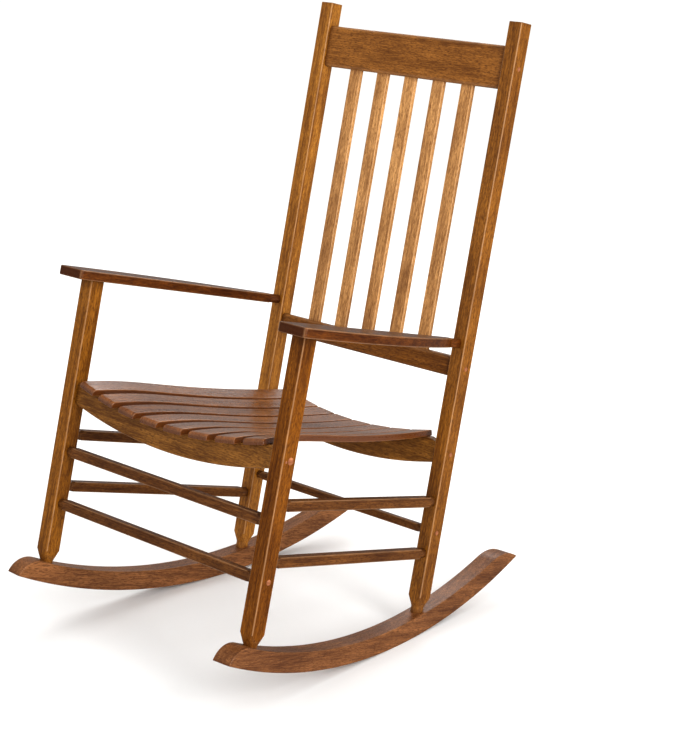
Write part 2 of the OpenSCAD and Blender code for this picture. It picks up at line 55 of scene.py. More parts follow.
# Posts: width, depth and the place of the middle line
FRONT_POST = {"w": 33, "d": 32, "x": 293, "y": 16}
BACK_POST = {"w": 32, "d": 31, "x": 251.5, "y": 497.8}
BACK_RAKE = math.radians(0.68)
BACK_POST_TOP = 824
POST_EDGE, POST_TOP_EDGE = 3, 1.6
TOE = math.atan((FRONT_POST["x"] - BACK_POST["x"]) / (BACK_POST["y"] - FRONT_POST["y"]))
FRONT_INNER_X = FRONT_POST["x"] - FRONT_POST["w"] / 2
BACK_INNER_X = BACK_POST["x"] - BACK_POST["w"] / 2

# Feet: where a post is turned down to a round neck, how far the neck runs on, its radii, and
# the length above the neck that has closely spaced sections
FRONT_NECK_Z, BACK_NECK_Z = -357, -314
FRONT_NECK_LEN, BACK_NECK_LEN = 14, 26
FOOT_R, FOOT_TAPER, FOOT_CORNER_R, FOOT_LEN = 12.2, 24, 22.5, 30

# Rockers, in the frame of the left side
ROCKER_R, ROCKER_H, ROCKER_T = 1038, 39, 41
ROCKER_MID = (189, 624.6)
FRONT_TIP, REAR_TIP = math.radians(13.6), math.radians(35.6)
NOSE_R, TAIL_R = 44, 93
ROCKER_EDGE = 2.2

# Seat slats: their side view, and the sloping axis that they fan out round
SEAT_SLATS = 8
SEAT_SLAT_W, SEAT_SLAT_T = 47, 12
SEAT_PITCH = 67.2
SEAT_FRONT_Y, SEAT_REAR_Y = -18, 499
SLAT_ROUND, SLAT_EDGE, SLAT_FRONT_EDGE = 8, 2, 1.5
CREST_Y, CREST_Z, FLAT_LEN = 119, -11.9, 77
SEAT_FRONT_R, SEAT_REAR_R = 1050, 2850
FAN_MID = (0, 2347, -12)
FAN_TILT = math.radians(26.2)

# How much farther from the fan's axis a flat slat's edges are taken to lie than its middle
SLAT_EDGE_RISE = 0.3

# Seat rails: front face, lowest point and the radius of the belly
SEAT_RAIL_T, SEAT_RAIL_H, SEAT_RAIL_EDGE = 20, 40, 3
FRONT_RAIL = {"y": 9, "bottom": -74.6, "r": 1150}
REAR_RAIL = {"y": BACK_POST["y"] - SEAT_RAIL_T / 2, "bottom": -58.5, "r": 990}
FRONT_RAIL_TOP = 0
REAR_RAIL_TOP, REAR_RAIL_END_TOP, REAR_RAIL_SHOULDER = 16, 9.6, 208

# Back rails, as height of the middle and height of the rail, and the slats between them
CREST_RAIL, LOWER_RAIL = (736.8, 83), (159, 40)
BACK_RAIL_T, BACK_RAIL_EDGE = 20, 7.5
BACK_SLATS, BACK_SLAT_PITCH = 5, 75
BACK_SLAT_W, BACK_SLAT_T, BACK_SLAT_EDGE = 30, 9, 2
BACK_SLAT_BOTTOM, BACK_SLAT_TOP = 174, 700

# Arms
ARM_T, ARM_Z, ARM_SLOPE = 18.5, 200, math.radians(0.43)
ARM_FRONT_Y, ARM_END_Y, ARM_BACK_Y = -33, 453, 484
ARM_OUTER_X, ARM_ARC_R, ARM_ARC_Y = 341.5, 1150, 21
ARM_INNER_X, ARM_INNER_SLOPE = 271.2, 0.0625
ARM_INNER_CUT, ARM_OUTER_CUT, ARM_EDGE = 3.5, 4, 3
ARM_NECK_R, ARM_ROUND = 9, 11

# Stretchers: their heights, and the turned ends
STRETCHER_W, REAR_STRETCHER_W, STRETCHER_EDGE = 20, 16, 3
SIDE_STRETCHER_Z = {"upper": -104.5, "lower": -207}
FRONT_STRETCHER_Z = {"upper": -135.5, "lower": -239}
REAR_STRETCHER_Z = -164
FRONT_STRETCHER_Y = 17.5
NECK_LEN, TURN_LEN, NECK_LESS, CORNER_SHARE = 10, 7, 0.2, 0.725
STRETCHER_TENON = 3

# Plugs in the posts' outer faces: diameters, and (y, z) or z on the left posts
LARGE_PLUG_D, PIN_D, LOWER_PLUG_D, SMALL_PLUG_D = 14, 5, 11, 9
FRONT_PLUG, FRONT_PIN = (FRONT_RAIL["y"] + SEAT_RAIL_T / 2, -21), (8.4, -23)
LOWER_PLUG = (FRONT_STRETCHER_Y, FRONT_STRETCHER_Z["lower"])
BACK_PLUGS = (CREST_RAIL[0], LOWER_RAIL[0], -9, REAR_STRETCHER_Z)
PLUG_DEPTH, PLUG_RISE, PLUG_RIM, PLUG_GAP = 6, 1.0, 0.25, 0.1

# Flat strip kept beside a rounding, and the angle from which an edge is shaded as sharp
FADE = 2.5
SHARP = math.radians(38)

# How far darker stain reaches from the ends, and how far painted shade reaches from the sides that
# face a narrow gap
END_SOAK, GAP_SHADE_REACH = 2, 0.5

# Red, green and blue shares of the stain in the darkest and lightest wood, and of the pale colour on
# rounded edges, which is partly wear and partly a painted highlight
DARK_SHARE, LIGHT_SHARE = (0.42, 0.34, 0.28), (1.65, 1.75, 1.9)
WORN_AND_HIGHLIT_EDGE = (0.95, 0.60, 0.34)

rng = random.Random(7)


# ------------------------------------------------------------------ mesh building

def arc(mid, radius, start, end, steps):
    """Points of an arc round mid; angles are from straight down, positive to the rear."""
    turn = [start + (end - start) * i / steps for i in range(steps + 1)]
    return [(mid[0] + radius * math.sin(a), mid[1] - radius * math.cos(a)) for a in turn]


def inset(outline, depth):
    """The outline moved inward by depth, with mitred corners. It runs anticlockwise."""
    moved = []
    count = len(outline)
    for i, (x, y) in enumerate(outline):
        before, after = outline[i - 1], outline[(i + 1) % count]
        one = Vector((x - before[0], y - before[1])).normalized()
        two = Vector((after[0] - x, after[1] - y)).normalized()
        normal = Vector((-one.y - two.y, one.x + two.x)).normalized()
        spread = max(0.5, normal.dot(Vector((-one.y, one.x))))
        moved.append((x + normal.x * depth / spread, y + normal.y * depth / spread))
    return moved


def rounded_ring(w, h, r, fade=FADE, corner=5, sides=(4, 4)):
    """A rounded rectangle as (a, b, edge) points: edge is 1 on the corners, 0 on the flats."""
    ring = []
    for k, (sx, sy) in enumerate(((1, -1), (1, 1), (-1, 1), (-1, -1))):
        cx, cy = sx * (w / 2 - r), sy * (h / 2 - r)
        start = math.radians(-90 + 90 * k)
        for i in range(corner + 1):
            a = start + math.radians(90) * i / corner
            ring.append((cx + r * math.cos(a), cy + r * math.sin(a), math.sin(math.pi * i / corner)))
        length = (h if k % 2 == 0 else w) - 2 * r
        along = start + math.radians(180)
        near = min(fade, 0.4 * length)
        x0, y0 = ring[-1][:2]
        for t in evenly(near, length - near, sides[k % 2] + 1):
            ring.append((x0 + t * math.cos(along), y0 + t * math.sin(along), 0.0))
    return ring


def rounding(r):
    """(distance, inset, edge) steps over an edge rounded by r, from a bar's end inward."""
    turn = [math.radians(90) * i / 6 for i in range(7)]
    return [(r * (1 - math.cos(a)), r * (1 - math.sin(a)), math.sin(2 * a)) for a in turn]


def end_steps(r):
    """(distance, inset, edge) from a flat end round its edge and past it."""
    return [(0, r + FADE, 0.0)] + rounding(r) + [(r + FADE, 0, 0.0)]


def head_stations(start, r):
    return [(start + s, depth, edge) for s, depth, edge in end_steps(r)]


def tail_stations(end, r):
    return [(end - s, depth, edge) for s, depth, edge in reversed(end_steps(r))]


def plain(places):
    """Stations at which a bar has its full section."""
    return [(s, 0, 0.0) for s in places]


def evenly(start, end, count):
    return [start + (end - start) * i / (count - 1) for i in range(count)]


class Solid:
    """Vertices in the chair's frame, with where each one lies in the wood and how near an edge."""

    def __init__(self):
        self.points, self.grain, self.edge, self.faces = [], [], [], []

    def skin(self, rings, closed=True):
        """Joins rings of (point, grain, edge) with quads, and closes both ends if asked."""
        first = len(self.points)
        count = len(rings[0])
        for ring in rings:
            for point, grain, edge in ring:
                self.points.append(point)
                self.grain.append(grain)
                self.edge.append(edge)
        for r in range(len(rings) - 1):
            low, high = first + r * count, first + (r + 1) * count
            for i in range(count):
                j = (i + 1) % count
                self.faces.append((low + i, low + j, high + j, high + i))
        last = first + (len(rings) - 1) * count
        if closed:
            self.faces.append(tuple(first + i for i in reversed(range(count))))
            self.faces.append(tuple(last + i for i in range(count)))
        return self


def bar(stations, section, place):
    """A bar lofted along its grain: section(s, inset) gives (a, b, edge), place(s, a, b) a point."""
    rings = []
    for s, depth, end_edge in stations:
        rings.append([
            (place(s, a, b), (s, a, b), max(edge, end_edge)) for a, b, edge in section(s, depth)
        ])
    return Solid().skin(rings)


def board(lower, upper, thickness, r, place):
    """A board between two lines that share both ends, with all its edges rounded by r."""
    half, last = thickness / 2, len(lower) - 1
    outline = lower + upper[-2:0:-1]
    levels = [(-half + s, depth, edge) for s, depth, edge in rounding(r)]
    levels += [(-half + r + FADE, 0, 0.0), (half - r - FADE, 0, 0.0)]
    levels += [(half - s, depth, edge) for s, depth, edge in reversed(rounding(r))]
    solid = Solid()
    solid.skin([
        [(place(s, a, level), (s, a, level), edge) for s, a in inset(outline, depth)]
        for level, depth, edge in levels
    ], closed=False)
    for level, first in ((-half, 0), (half, (len(levels) - 1) * len(outline))):
        rim = inset(outline, r)
        rows = [[first]]
        for i in range(1, last):
            low, high = rim[i], rim[-i]
            keep = min(0.45, FADE / math.dist(low, high))
            row = [first + i]
            for share in (keep, 1 - keep):
                s, a = (low[k] + (high[k] - low[k]) * share for k in (0, 1))
                solid.points.append(place(s, a, level))
                solid.grain.append((s, a, level))
                solid.edge.append(0.0)
                row.append(len(solid.points) - 1)
            rows.append(row + [first + len(outline) - i])
        rows.append([first + last])
        for one, two in zip(rows, rows[1:]):
            if len(one) == 1 or len(two) == 1:
                faces = [tuple(one + two[::-1])]
            else:
                faces = [(one[k], two[k], two[k + 1], one[k + 1]) for k in range(3)]
            solid.faces += [tuple(reversed(f)) for f in faces] if level < 0 else faces
    return solid


def turn_x(p, angle):
    x, y, z = p
    return (x, y * math.cos(angle) - z * math.sin(angle), y * math.sin(angle) + z * math.cos(angle))


def turn_z(p, angle):
    x, y, z = p
    return (x * math.cos(angle) - y * math.sin(angle), x * math.sin(angle) + y * math.cos(angle), z)


def shift(p, by):
    return (p[0] + by[0], p[1] + by[1], p[2] + by[2])


def mirrored(solid):
    solid.points = [(-x, y, z) for x, y, z in solid.points]
    solid.faces = [tuple(reversed(f)) for f in solid.faces]
    return solid


def to_side(solid, side):
    return mirrored(solid) if side < 0 else solid


def on_back(p):
    """From the frame of the raked back, with z up the posts' middle line."""
    return shift(turn_x(p, BACK_RAKE), (0, BACK_POST["y"], 0))


def on_side(p):
    """From the frame of the left side, with y along the line through both left posts."""
    return shift(turn_z(p, TOE), (FRONT_POST["x"] + FRONT_POST["y"] * math.tan(TOE), 0, 0))


def on_arm(p):
    """From the frame of an arm, with z = 0 its underside."""
    return shift(turn_x(p, -ARM_SLOPE), (0, 0, ARM_Z))


# ------------------------------------------------------------------ the chair's pieces

def rocker():
    """Left rocker: two arcs about one centre, closed by a rounded nose and a longer tail."""
    top_r = ROCKER_R - ROCKER_H

    def end_curl(r, tip, way, steps):
        """Arc from the top's end down to the tip, and the angle at which the top ends."""
        mid_r = top_r + r
        reach = math.acos((ROCKER_R ** 2 + mid_r ** 2 - r ** 2) / (2 * ROCKER_R * mid_r))
        top_end = tip - way * reach
        mid = arc(ROCKER_MID, mid_r, top_end, top_end, 1)[0]
        turn = way * math.acos((mid_r - ROCKER_R * math.cos(reach)) / r)
        return top_end, arc(mid, r, top_end + math.pi, top_end + math.pi - turn, steps)

    nose, nose_curl = end_curl(NOSE_R, -FRONT_TIP, -1, 20)
    tail, tail_curl = end_curl(TAIL_R, REAR_TIP, 1, 18)
    top = arc(ROCKER_MID, top_r, nose, tail, 142)
    lower = arc(ROCKER_MID, ROCKER_R, -FRONT_TIP, REAR_TIP, 180)
    upper = nose_curl[::-1] + top[1:] + tail_curl[1:]
    return board(lower, upper, ROCKER_T, ROCKER_EDGE, lambda s, a, t: on_side((t, s, a)))


def turned_section(w, h, r, neck_r, start, end, taper, corner_r):
    """Section of a square bar turned down to a round neck at start, and at end unless None."""
    def section(s, depth):
        ring = rounded_ring(w - 2 * depth, h - 2 * depth, max(r - depth, 0.6))
        gap = s - start if end is None else min(s - start, end - s)
        limit = neck_r + max(0, gap) / taper * (corner_r - neck_r)
        out = []
        for a, b, edge in ring:
            reach = math.hypot(a, b)
            if reach > limit:
                a, b, edge = a * limit / reach, b * limit / reach, 0.35
            out.append((a, b, edge))
        return out
    return section


def footed_post(size, neck_z, neck_len, upper, place):
    """Square post turned down to its foot. upper holds the stations above the turning."""
    section = turned_section(
        size["w"], size["d"], POST_EDGE, FOOT_R, neck_z, None, FOOT_TAPER, FOOT_CORNER_R)
    turning = evenly(neck_z, neck_z + FOOT_LEN, 40)
    return bar(plain([neck_z - neck_len] + turning) + upper, section, place)


def front_post():
    """Left front post, which ends just inside the arm."""
    top = ARM_Z + 0.3
    upper = plain(evenly(FRONT_NECK_Z + 1.5 * FOOT_LEN, top - 1, 24) + [top])
    return footed_post(FRONT_POST, FRONT_NECK_Z, FRONT_NECK_LEN, upper,
                       lambda s, a, b: (FRONT_POST["x"] + a, FRONT_POST["y"] + b, s))


def back_post():
    """Left back post, with its top's edges rounded."""
    upper = plain(evenly(BACK_NECK_Z + 1.5 * FOOT_LEN, BACK_POST_TOP - 6, 40))
    upper += tail_stations(BACK_POST_TOP, POST_TOP_EDGE)[1:]
    return footed_post(BACK_POST, BACK_NECK_Z, BACK_NECK_LEN, upper,
                       lambda s, a, b: on_back((BACK_POST["x"] + a, b, s)))


def stretcher(w, length, place):
    """Rounded bar of that length between two posts, turned round at both ends."""
    neck = w / 2 - NECK_LESS
    section = turned_section(
        w, w, STRETCHER_EDGE, neck, NECK_LEN, length - NECK_LEN, TURN_LEN, CORNER_SHARE * w)
    turning = evenly(NECK_LEN - 1, NECK_LEN + TURN_LEN + 1, 14)
    middle = evenly(3 * NECK_LEN, length - 3 * NECK_LEN, 16)
    places = [-STRETCHER_TENON] + turning + middle + [length - s for s in reversed(turning)]
    return bar(plain(places + [length + STRETCHER_TENON]), section, place)


def side_stretcher(z):
    """Left side stretcher, along the toed-in line through both posts."""
    start = FRONT_POST["d"] / math.cos(TOE)
    length = (BACK_POST["y"] - BACK_POST["d"] / 2 - FRONT_POST["d"]) / math.cos(TOE)
    return stretcher(STRETCHER_W, length, lambda s, a, b: on_side((-a, start + s, z + b)))


def front_stretcher(z):
    return stretcher(STRETCHER_W, 2 * FRONT_INNER_X,
                     lambda s, a, b: (s - FRONT_INNER_X, FRONT_STRETCHER_Y + a, z + b))


def rear_stretcher():
    return stretcher(REAR_STRETCHER_W, 2 * BACK_INNER_X,
                     lambda s, a, b: on_back((s - BACK_INNER_X, a, b + REAR_STRETCHER_Z)))


def back_rail(z, h):
    """Rail between the back posts, centred on height z."""
    stations = plain(evenly(-BACK_INNER_X - 0.2, BACK_INNER_X + 0.2, 40))
    return bar(stations, lambda s, depth: rounded_ring(BACK_RAIL_T, h, BACK_RAIL_EDGE, corner=8),
               lambda s, a, b: on_back((s, a, z + b)))


def back_slat(i):
    x = (i - (BACK_SLATS - 1) / 2) * BACK_SLAT_PITCH
    return bar(
        plain(evenly(BACK_SLAT_BOTTOM, BACK_SLAT_TOP, 44)),
        lambda s, depth: rounded_ring(BACK_SLAT_W, BACK_SLAT_T, BACK_SLAT_EDGE, fade=1.5),
        lambda s, a, b: on_back((x + a, b, s)))


def seat_line(y):
    """Height and slope angle of a seat slat's top at depth y."""
    if y < CREST_Y:
        lean = math.asin((CREST_Y - y) / SEAT_FRONT_R)
        return CREST_Z - SEAT_FRONT_R * (1 - math.cos(lean)), lean
    if y < CREST_Y + FLAT_LEN:
        return CREST_Z, 0.0
    lean = math.asin((y - CREST_Y - FLAT_LEN) / SEAT_REAR_R)
    return CREST_Z + SEAT_REAR_R * (1 - math.cos(lean)), lean


def fan_radius(y, z):
    """Distance of a point of the middle slat from the fan's axis."""
    return (FAN_MID[1] - y) * math.sin(FAN_TILT) - (z - FAN_MID[2]) * math.cos(FAN_TILT)


def fan_turn(i):
    """Turn from the middle of the seat to slat i, counted from the sitter's right."""
    front_z = CREST_Z - SEAT_SLAT_T
    step = SEAT_PITCH / fan_radius(SEAT_FRONT_Y, front_z)
    axis = Vector((0, -math.cos(FAN_TILT), math.sin(FAN_TILT)))
    spin = Matrix.Rotation((i - (SEAT_SLATS - 1) / 2) * step, 4, axis)
    return Matrix.Translation(FAN_MID) @ spin @ Matrix.Translation(Vector(FAN_MID) * -1)


def seat_slat(i):
    """Seat slat, bent to the seat's side view and rounded down at its front."""
    turn = fan_turn(i)

    def section(s, depth):
        ahead = max(0, SLAT_ROUND - (s - SEAT_FRONT_Y))
        round_off = SLAT_ROUND - math.sqrt(SLAT_ROUND ** 2 - ahead ** 2)
        low, high = depth, SEAT_SLAT_T - max(round_off, depth)
        r = min(max(SLAT_EDGE - depth, 0.5), 0.45 * (high - low))
        lift = (low + high - SEAT_SLAT_T) / 2
        return [(a, b + lift, edge) for a, b, edge in
                rounded_ring(SEAT_SLAT_W - 2 * depth, high - low, r)]

    def place(s, a, b):
        z, lean = seat_line(s)
        drop = SEAT_SLAT_T / 2 - b
        return tuple(turn @ Vector((a, s + drop * math.sin(lean), z - drop * math.cos(lean))))

    front_steps = [(0, FADE, 0.0)] + rounding(SLAT_FRONT_EDGE)
    front_steps += plain(evenly(2.2, SLAT_ROUND, 8))
    stations = [(SEAT_FRONT_Y + t, depth, edge) for t, depth, edge in front_steps]
    stations += plain(evenly(0, SEAT_REAR_Y - 9, 46)) + tail_stations(SEAT_REAR_Y, SLAT_EDGE)
    return bar(stations, section, place)


def dish_height(x, y, front_y, rear_y):
    """Height at (x, y) of the cone under all slats between two depths, found by halving."""
    cos_t, sin_t = math.cos(FAN_TILT), math.sin(FAN_TILT)

    def reach_and_radius(depth):
        z = seat_line(depth)[0] - SEAT_SLAT_T
        reach = (FAN_MID[1] - depth) * cos_t + (z - FAN_MID[2]) * sin_t
        return reach, fan_radius(depth, z) + SLAT_EDGE_RISE

    (s1, r1), (s2, r2) = reach_and_radius(front_y), reach_and_radius(rear_y)
    slope = (r1 - r2) / (s1 - s2)
    low, high = -120.0, 200.0
    for _ in range(40):
        z = (low + high) / 2
        s = (FAN_MID[1] - y) * cos_t + (z - FAN_MID[2]) * sin_t
        across = math.hypot(x, fan_radius(y, z))
        if across > r2 + slope * (s - s2):
            low = z
        else:
            high = z
    return (low + high) / 2


def seat_rail(half_x, rail, top_limit):
    """Rail across the chair: bellied below, cut to the slats' dish above."""
    front, rear = rail["y"], rail["y"] + SEAT_RAIL_T
    keep = SEAT_RAIL_EDGE + FADE
    ring = rounded_ring(SEAT_RAIL_T, SEAT_RAIL_H, SEAT_RAIL_EDGE, FADE, 5, (6, 3))

    def stretched(b, low, top):
        rise = b + SEAT_RAIL_H / 2
        if rise <= keep:
            return low + rise
        if rise >= SEAT_RAIL_H - keep:
            return top - (SEAT_RAIL_H - rise)
        return low + keep + (rise - keep) / (SEAT_RAIL_H - 2 * keep) * (top - low - 2 * keep)

    def section(x, depth):
        low = rail["bottom"] + rail["r"] - math.sqrt(rail["r"] ** 2 - x * x)
        tops = [min(top_limit(x), dish_height(x, y, front - 1, rear + 1)) for y in (front, rear)]
        out = []
        for a, b, edge in ring:
            top = tops[0] + (tops[1] - tops[0]) * (a / SEAT_RAIL_T + 0.5)
            out.append((a, stretched(b, low, top), edge))
        return out

    stations = plain(evenly(-half_x - 0.2, half_x + 0.2, 90))
    return bar(stations, section, lambda s, a, b: (s, front + SEAT_RAIL_T / 2 + a, b))


def front_rail():
    return seat_rail(FRONT_INNER_X, FRONT_RAIL, lambda x: FRONT_RAIL_TOP)


def rear_rail():
    """Rear seat rail, whose top falls off towards the posts."""
    def top_limit(x):
        fall = REAR_RAIL_TOP - REAR_RAIL_END_TOP
        past = max(0, abs(x) - REAR_RAIL_SHOULDER)
        return REAR_RAIL_TOP - past * fall / (BACK_INNER_X - REAR_RAIL_SHOULDER)

    return seat_rail(BACK_INNER_X, REAR_RAIL, top_limit)


def arm():
    """Left arm: straight inside, bowed outside, narrowed to a round neck at the back."""
    def inner(y):
        return ARM_INNER_X - (y - ARM_FRONT_Y) * ARM_INNER_SLOPE

    def outer(y):
        return ARM_OUTER_X - ARM_ARC_R + math.sqrt(ARM_ARC_R ** 2 - (y - ARM_ARC_Y) ** 2)

    round_y = ARM_END_Y - ARM_ROUND
    round_r = math.hypot(ARM_NECK_R, ARM_ROUND)

    def section(y, depth):
        at = min(y, ARM_END_Y)
        ahead = at - ARM_FRONT_Y
        left = inner(at) + max(0, ARM_INNER_CUT - ahead)
        right = outer(at) - max(0, ARM_OUTER_CUT - ahead)
        mid = (left + right) / 2
        ring = rounded_ring(right - left - 2 * depth, ARM_T - 2 * depth,
                            max(ARM_EDGE - depth, 0.5), fade=2, corner=6, sides=(3, 10))
        limit = 1e6
        if y > round_y:
            limit = max(ARM_NECK_R, math.sqrt(max(0, round_r ** 2 - (y - round_y) ** 2)))
        out = []
        for a, b, edge in ring:
            x = mid + a - BACK_POST["x"]
            reach = math.hypot(x, b)
            if reach > limit:
                x, b, edge = x * limit / reach, b * limit / reach, 0.3
            out.append((x, b, edge))
        return out

    depths = evenly(ARM_FRONT_Y + 7, round_y, 50) + evenly(round_y + 0.5, ARM_END_Y, 16)
    stations = head_stations(ARM_FRONT_Y, ARM_EDGE)
    stations += plain(depths + [ARM_END_Y + 12, ARM_BACK_Y])
    return bar(stations, section, lambda s, a, b: on_arm((BACK_POST["x"] + a, s, ARM_T / 2 + b)))


def plug(d, place):
    """Plug with a gently domed head, turned about the way it was driven in."""
    rim_r, count, steps = d / 2 - PLUG_RIM, 40, 9
    profile = [(-PLUG_DEPTH, d / 2 - PLUG_GAP), (0.0, d / 2 - PLUG_GAP), (PLUG_RIM, rim_r)]
    for i in range(1, steps):
        t = i / steps
        rise = PLUG_RIM + (PLUG_RISE - PLUG_RIM) * math.sin(t * math.pi / 2)
        profile.append((rise, rim_r * (1 - t) ** 0.55))
    rings = []
    for out, r in profile:
        ring = []
        for k in range(count):
            a = 2 * math.pi * k / count
            b, c = r * math.cos(a), r * math.sin(a)
            ring.append((place(out, b, c), (b * 0.4, c, out), 0.0))
        rings.append(ring)
    return Solid().skin(rings)


def merged(solids):
    """One solid that holds the separate shells of several."""
    whole = Solid()
    for solid in solids:
        first = len(whole.points)
        whole.points += solid.points
        whole.grain += solid.grain
        whole.edge += solid.edge
        whole.faces += [tuple(first + i for i in f) for f in solid.faces]
    return whole


def on_front_post(y, z):
    outer = FRONT_POST["x"] + FRONT_POST["w"] / 2
    return lambda out, b, c: (outer + out, y + b, z + c)


def on_back_post(z):
    outer = BACK_POST["x"] + BACK_POST["w"] / 2
    return lambda out, b, c: on_back((outer + out, b, z + c))


def plugs(d, places):
    """Plugs of one size at places on the left posts, and their mirror images."""
    return merged([to_side(plug(d, place), side) for side in (1, -1) for place in places])


# ------------------------------------------------------------------ materials

def wood(name, stain, figure=1.0, shine=0.2, rough=0.36, edge_wear_and_highlight=0.4, coat=0.06):
    """Stained and lacquered wood. Its pattern follows each piece's own grain direction."""
    dark = tuple(c * k for c, k in zip(stain, DARK_SHARE))
    light = tuple(min(1, c * k) for c, k in zip(stain, LIGHT_SHARE))
    worn_and_highlit_edge = tuple(0.4 * c + 0.6 * k for c, k in zip(stain, WORN_AND_HIGHLIT_EDGE))
    mat = bpy.data.materials.new(name)
    mat.use_nodes = True
    tree = mat.node_tree
    tree.nodes.clear()
    new, link = tree.nodes.new, tree.links.new

    def attribute(of):
        node = new("ShaderNodeAttribute")
        node.attribute_name = of
        return node.outputs

    def noise(scale, detail, roughness, distortion=0.0):
        mapping = new("ShaderNodeMapping")
        mapping.inputs["Scale"].default_value = scale
        link(grain, mapping.inputs["Vector"])
        node = new("ShaderNodeTexNoise")
        node.inputs["Scale"].default_value = 1.0
        node.inputs["Detail"].default_value = detail
        node.inputs["Roughness"].default_value = roughness
        node.inputs["Distortion"].default_value = distortion
        link(mapping.outputs["Vector"], node.inputs["Vector"])
        return node.outputs["Fac"]

    def ramp(value, stops):
        node = new("ShaderNodeValToRGB")
        elements = node.color_ramp.elements
        while len(elements) < len(stops):
            elements.new(0.5)
        for element, (at, colour) in zip(elements, stops):
            element.position = at
            element.color = (*colour, 1)
        link(value, node.inputs["Fac"])
        return node.outputs["Color"]

    def calc(operation, a, b):
        node = new("ShaderNodeMath")
        node.operation = operation
        for socket, value in zip(node.inputs, (a, b)):
            if isinstance(value, (int, float)):
                socket.default_value = value
            else:
                link(value, socket)
        return node.outputs[0]

    def mix(factor, a, b):
        node = new("ShaderNodeMix")
        node.data_type = "RGBA"
        link(factor, node.inputs["Factor"])
        link(a, node.inputs[6])
        node.inputs[7].default_value = (*b, 1)
        return node.outputs[2]

    grain = attribute("grain")["Vector"]
    edge = attribute("edge")["Fac"]
    streaks = noise((3, 95, 95), 6, 0.6, 0.3)
    fine = noise((30, 520, 520), 4, 0.65)
    pores = noise((120, 900, 900), 2, 0.55)
    clouds = noise((6, 24, 24), 4, 0.6)
    rings = new("ShaderNodeTexWave")
    rings.wave_type = "RINGS"
    rings.rings_direction = "X"
    rings.inputs["Scale"].default_value = 1.6
    rings.inputs["Distortion"].default_value = 6
    rings.inputs["Detail"].default_value = 3
    rings_place = new("ShaderNodeMapping")
    rings_place.inputs["Scale"].default_value = (1.1, 26, 17)
    link(grain, rings_place.inputs["Vector"])
    link(rings_place.outputs["Vector"], rings.inputs["Vector"])

    value = 0.5
    for layer, weight in (
        (streaks, 0.6 * figure), (rings.outputs["Fac"], 0.10 * figure),
        (fine, 1.1), (clouds, 0.8), (attribute("tint")["Fac"], 0.10),
    ):
        value = calc("ADD", value, calc("MULTIPLY", calc("SUBTRACT", layer, 0.5), weight))
    colour = ramp(value, [(0.22, dark), (0.50, stain), (0.80, light)])
    pore_mask = ramp(pores, [(0.50, (0, 0, 0)), (0.60, (1, 1, 1))])
    colour = mix(calc("MULTIPLY", pore_mask, 0.75), colour, dark)
    # Pale lines along rounded edges: partly wear, partly a painted highlight
    line = calc("MULTIPLY", calc("MULTIPLY", edge, edge), calc("MULTIPLY", fine, 2 * edge_wear_and_highlight))
    colour = mix(line, colour, worn_and_highlit_edge)
    # End grain is stained darker, and the sides along the seat slats' gaps get painted shade
    colour = mix(calc("MULTIPLY", attribute("end_stain_and_gap_shade")["Fac"], 0.8), colour, dark)

    shader = new("ShaderNodeBsdfPrincipled")
    link(colour, shader.inputs["Base Color"])
    uneven = calc("ADD", calc("MULTIPLY", streaks, 0.14), calc("MULTIPLY", pore_mask, 0.10))
    link(calc("ADD", uneven, rough - 0.07), shader.inputs["Roughness"])
    shader.inputs["Specular IOR Level"].default_value = shine
    shader.inputs["Coat Weight"].default_value = coat
    shader.inputs["Coat Roughness"].default_value = 0.12
    bump = new("ShaderNodeBump")
    bump.inputs["Strength"].default_value = 0.4
    bump.inputs["Distance"].default_value = 0.0003
    link(calc("SUBTRACT", fine, calc("MULTIPLY", pore_mask, 0.6)), bump.inputs["Height"])
    link(bump.outputs["Normal"], shader.inputs["Normal"])
    output = new("ShaderNodeOutputMaterial")
    link(shader.outputs[0], output.inputs["Surface"])
    return mat


def steel():
    mat = bpy.data.materials.new("zinc_steel")
    mat.use_nodes = True
    tree = mat.node_tree
    shader = tree.nodes["Principled BSDF"]
    place = tree.nodes.new("ShaderNodeTexCoord")
    spots = tree.nodes.new("ShaderNodeTexNoise")
    spots.inputs["Scale"].default_value = 900
    ramp = tree.nodes.new("ShaderNodeValToRGB")
    ramp.color_ramp.elements[0].color = (0.42, 0.41, 0.38, 1)
    ramp.color_ramp.elements[1].color = (0.72, 0.71, 0.68, 1)
    tree.links.new(place.outputs["Object"], spots.inputs["Vector"])
    tree.links.new(spots.outputs["Fac"], ramp.inputs["Fac"])
    tree.links.new(ramp.outputs["Color"], shader.inputs["Base Color"])
    shader.inputs["Metallic"].default_value = 1
    shader.inputs["Roughness"].default_value = 0.38
    return mat


# ------------------------------------------------------------------ assembly

def leaned(p):
    x, y, z = turn_x(p, -LEAN)
    return Vector((x, y, z)) * MM


def rest_shift():
    """How far the leaned chair frame lies from the row frame, from the CAD's left rocker."""
    low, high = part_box("rocker_left")
    points = [leaned(p) for p in rocker().points]
    return Vector((
        0,
        (low.y + high.y) / 2 - (min(p.y for p in points) + max(p.y for p in points)) / 2,
        low.z - min(p.z for p in points),
    ))


REST = rest_shift()


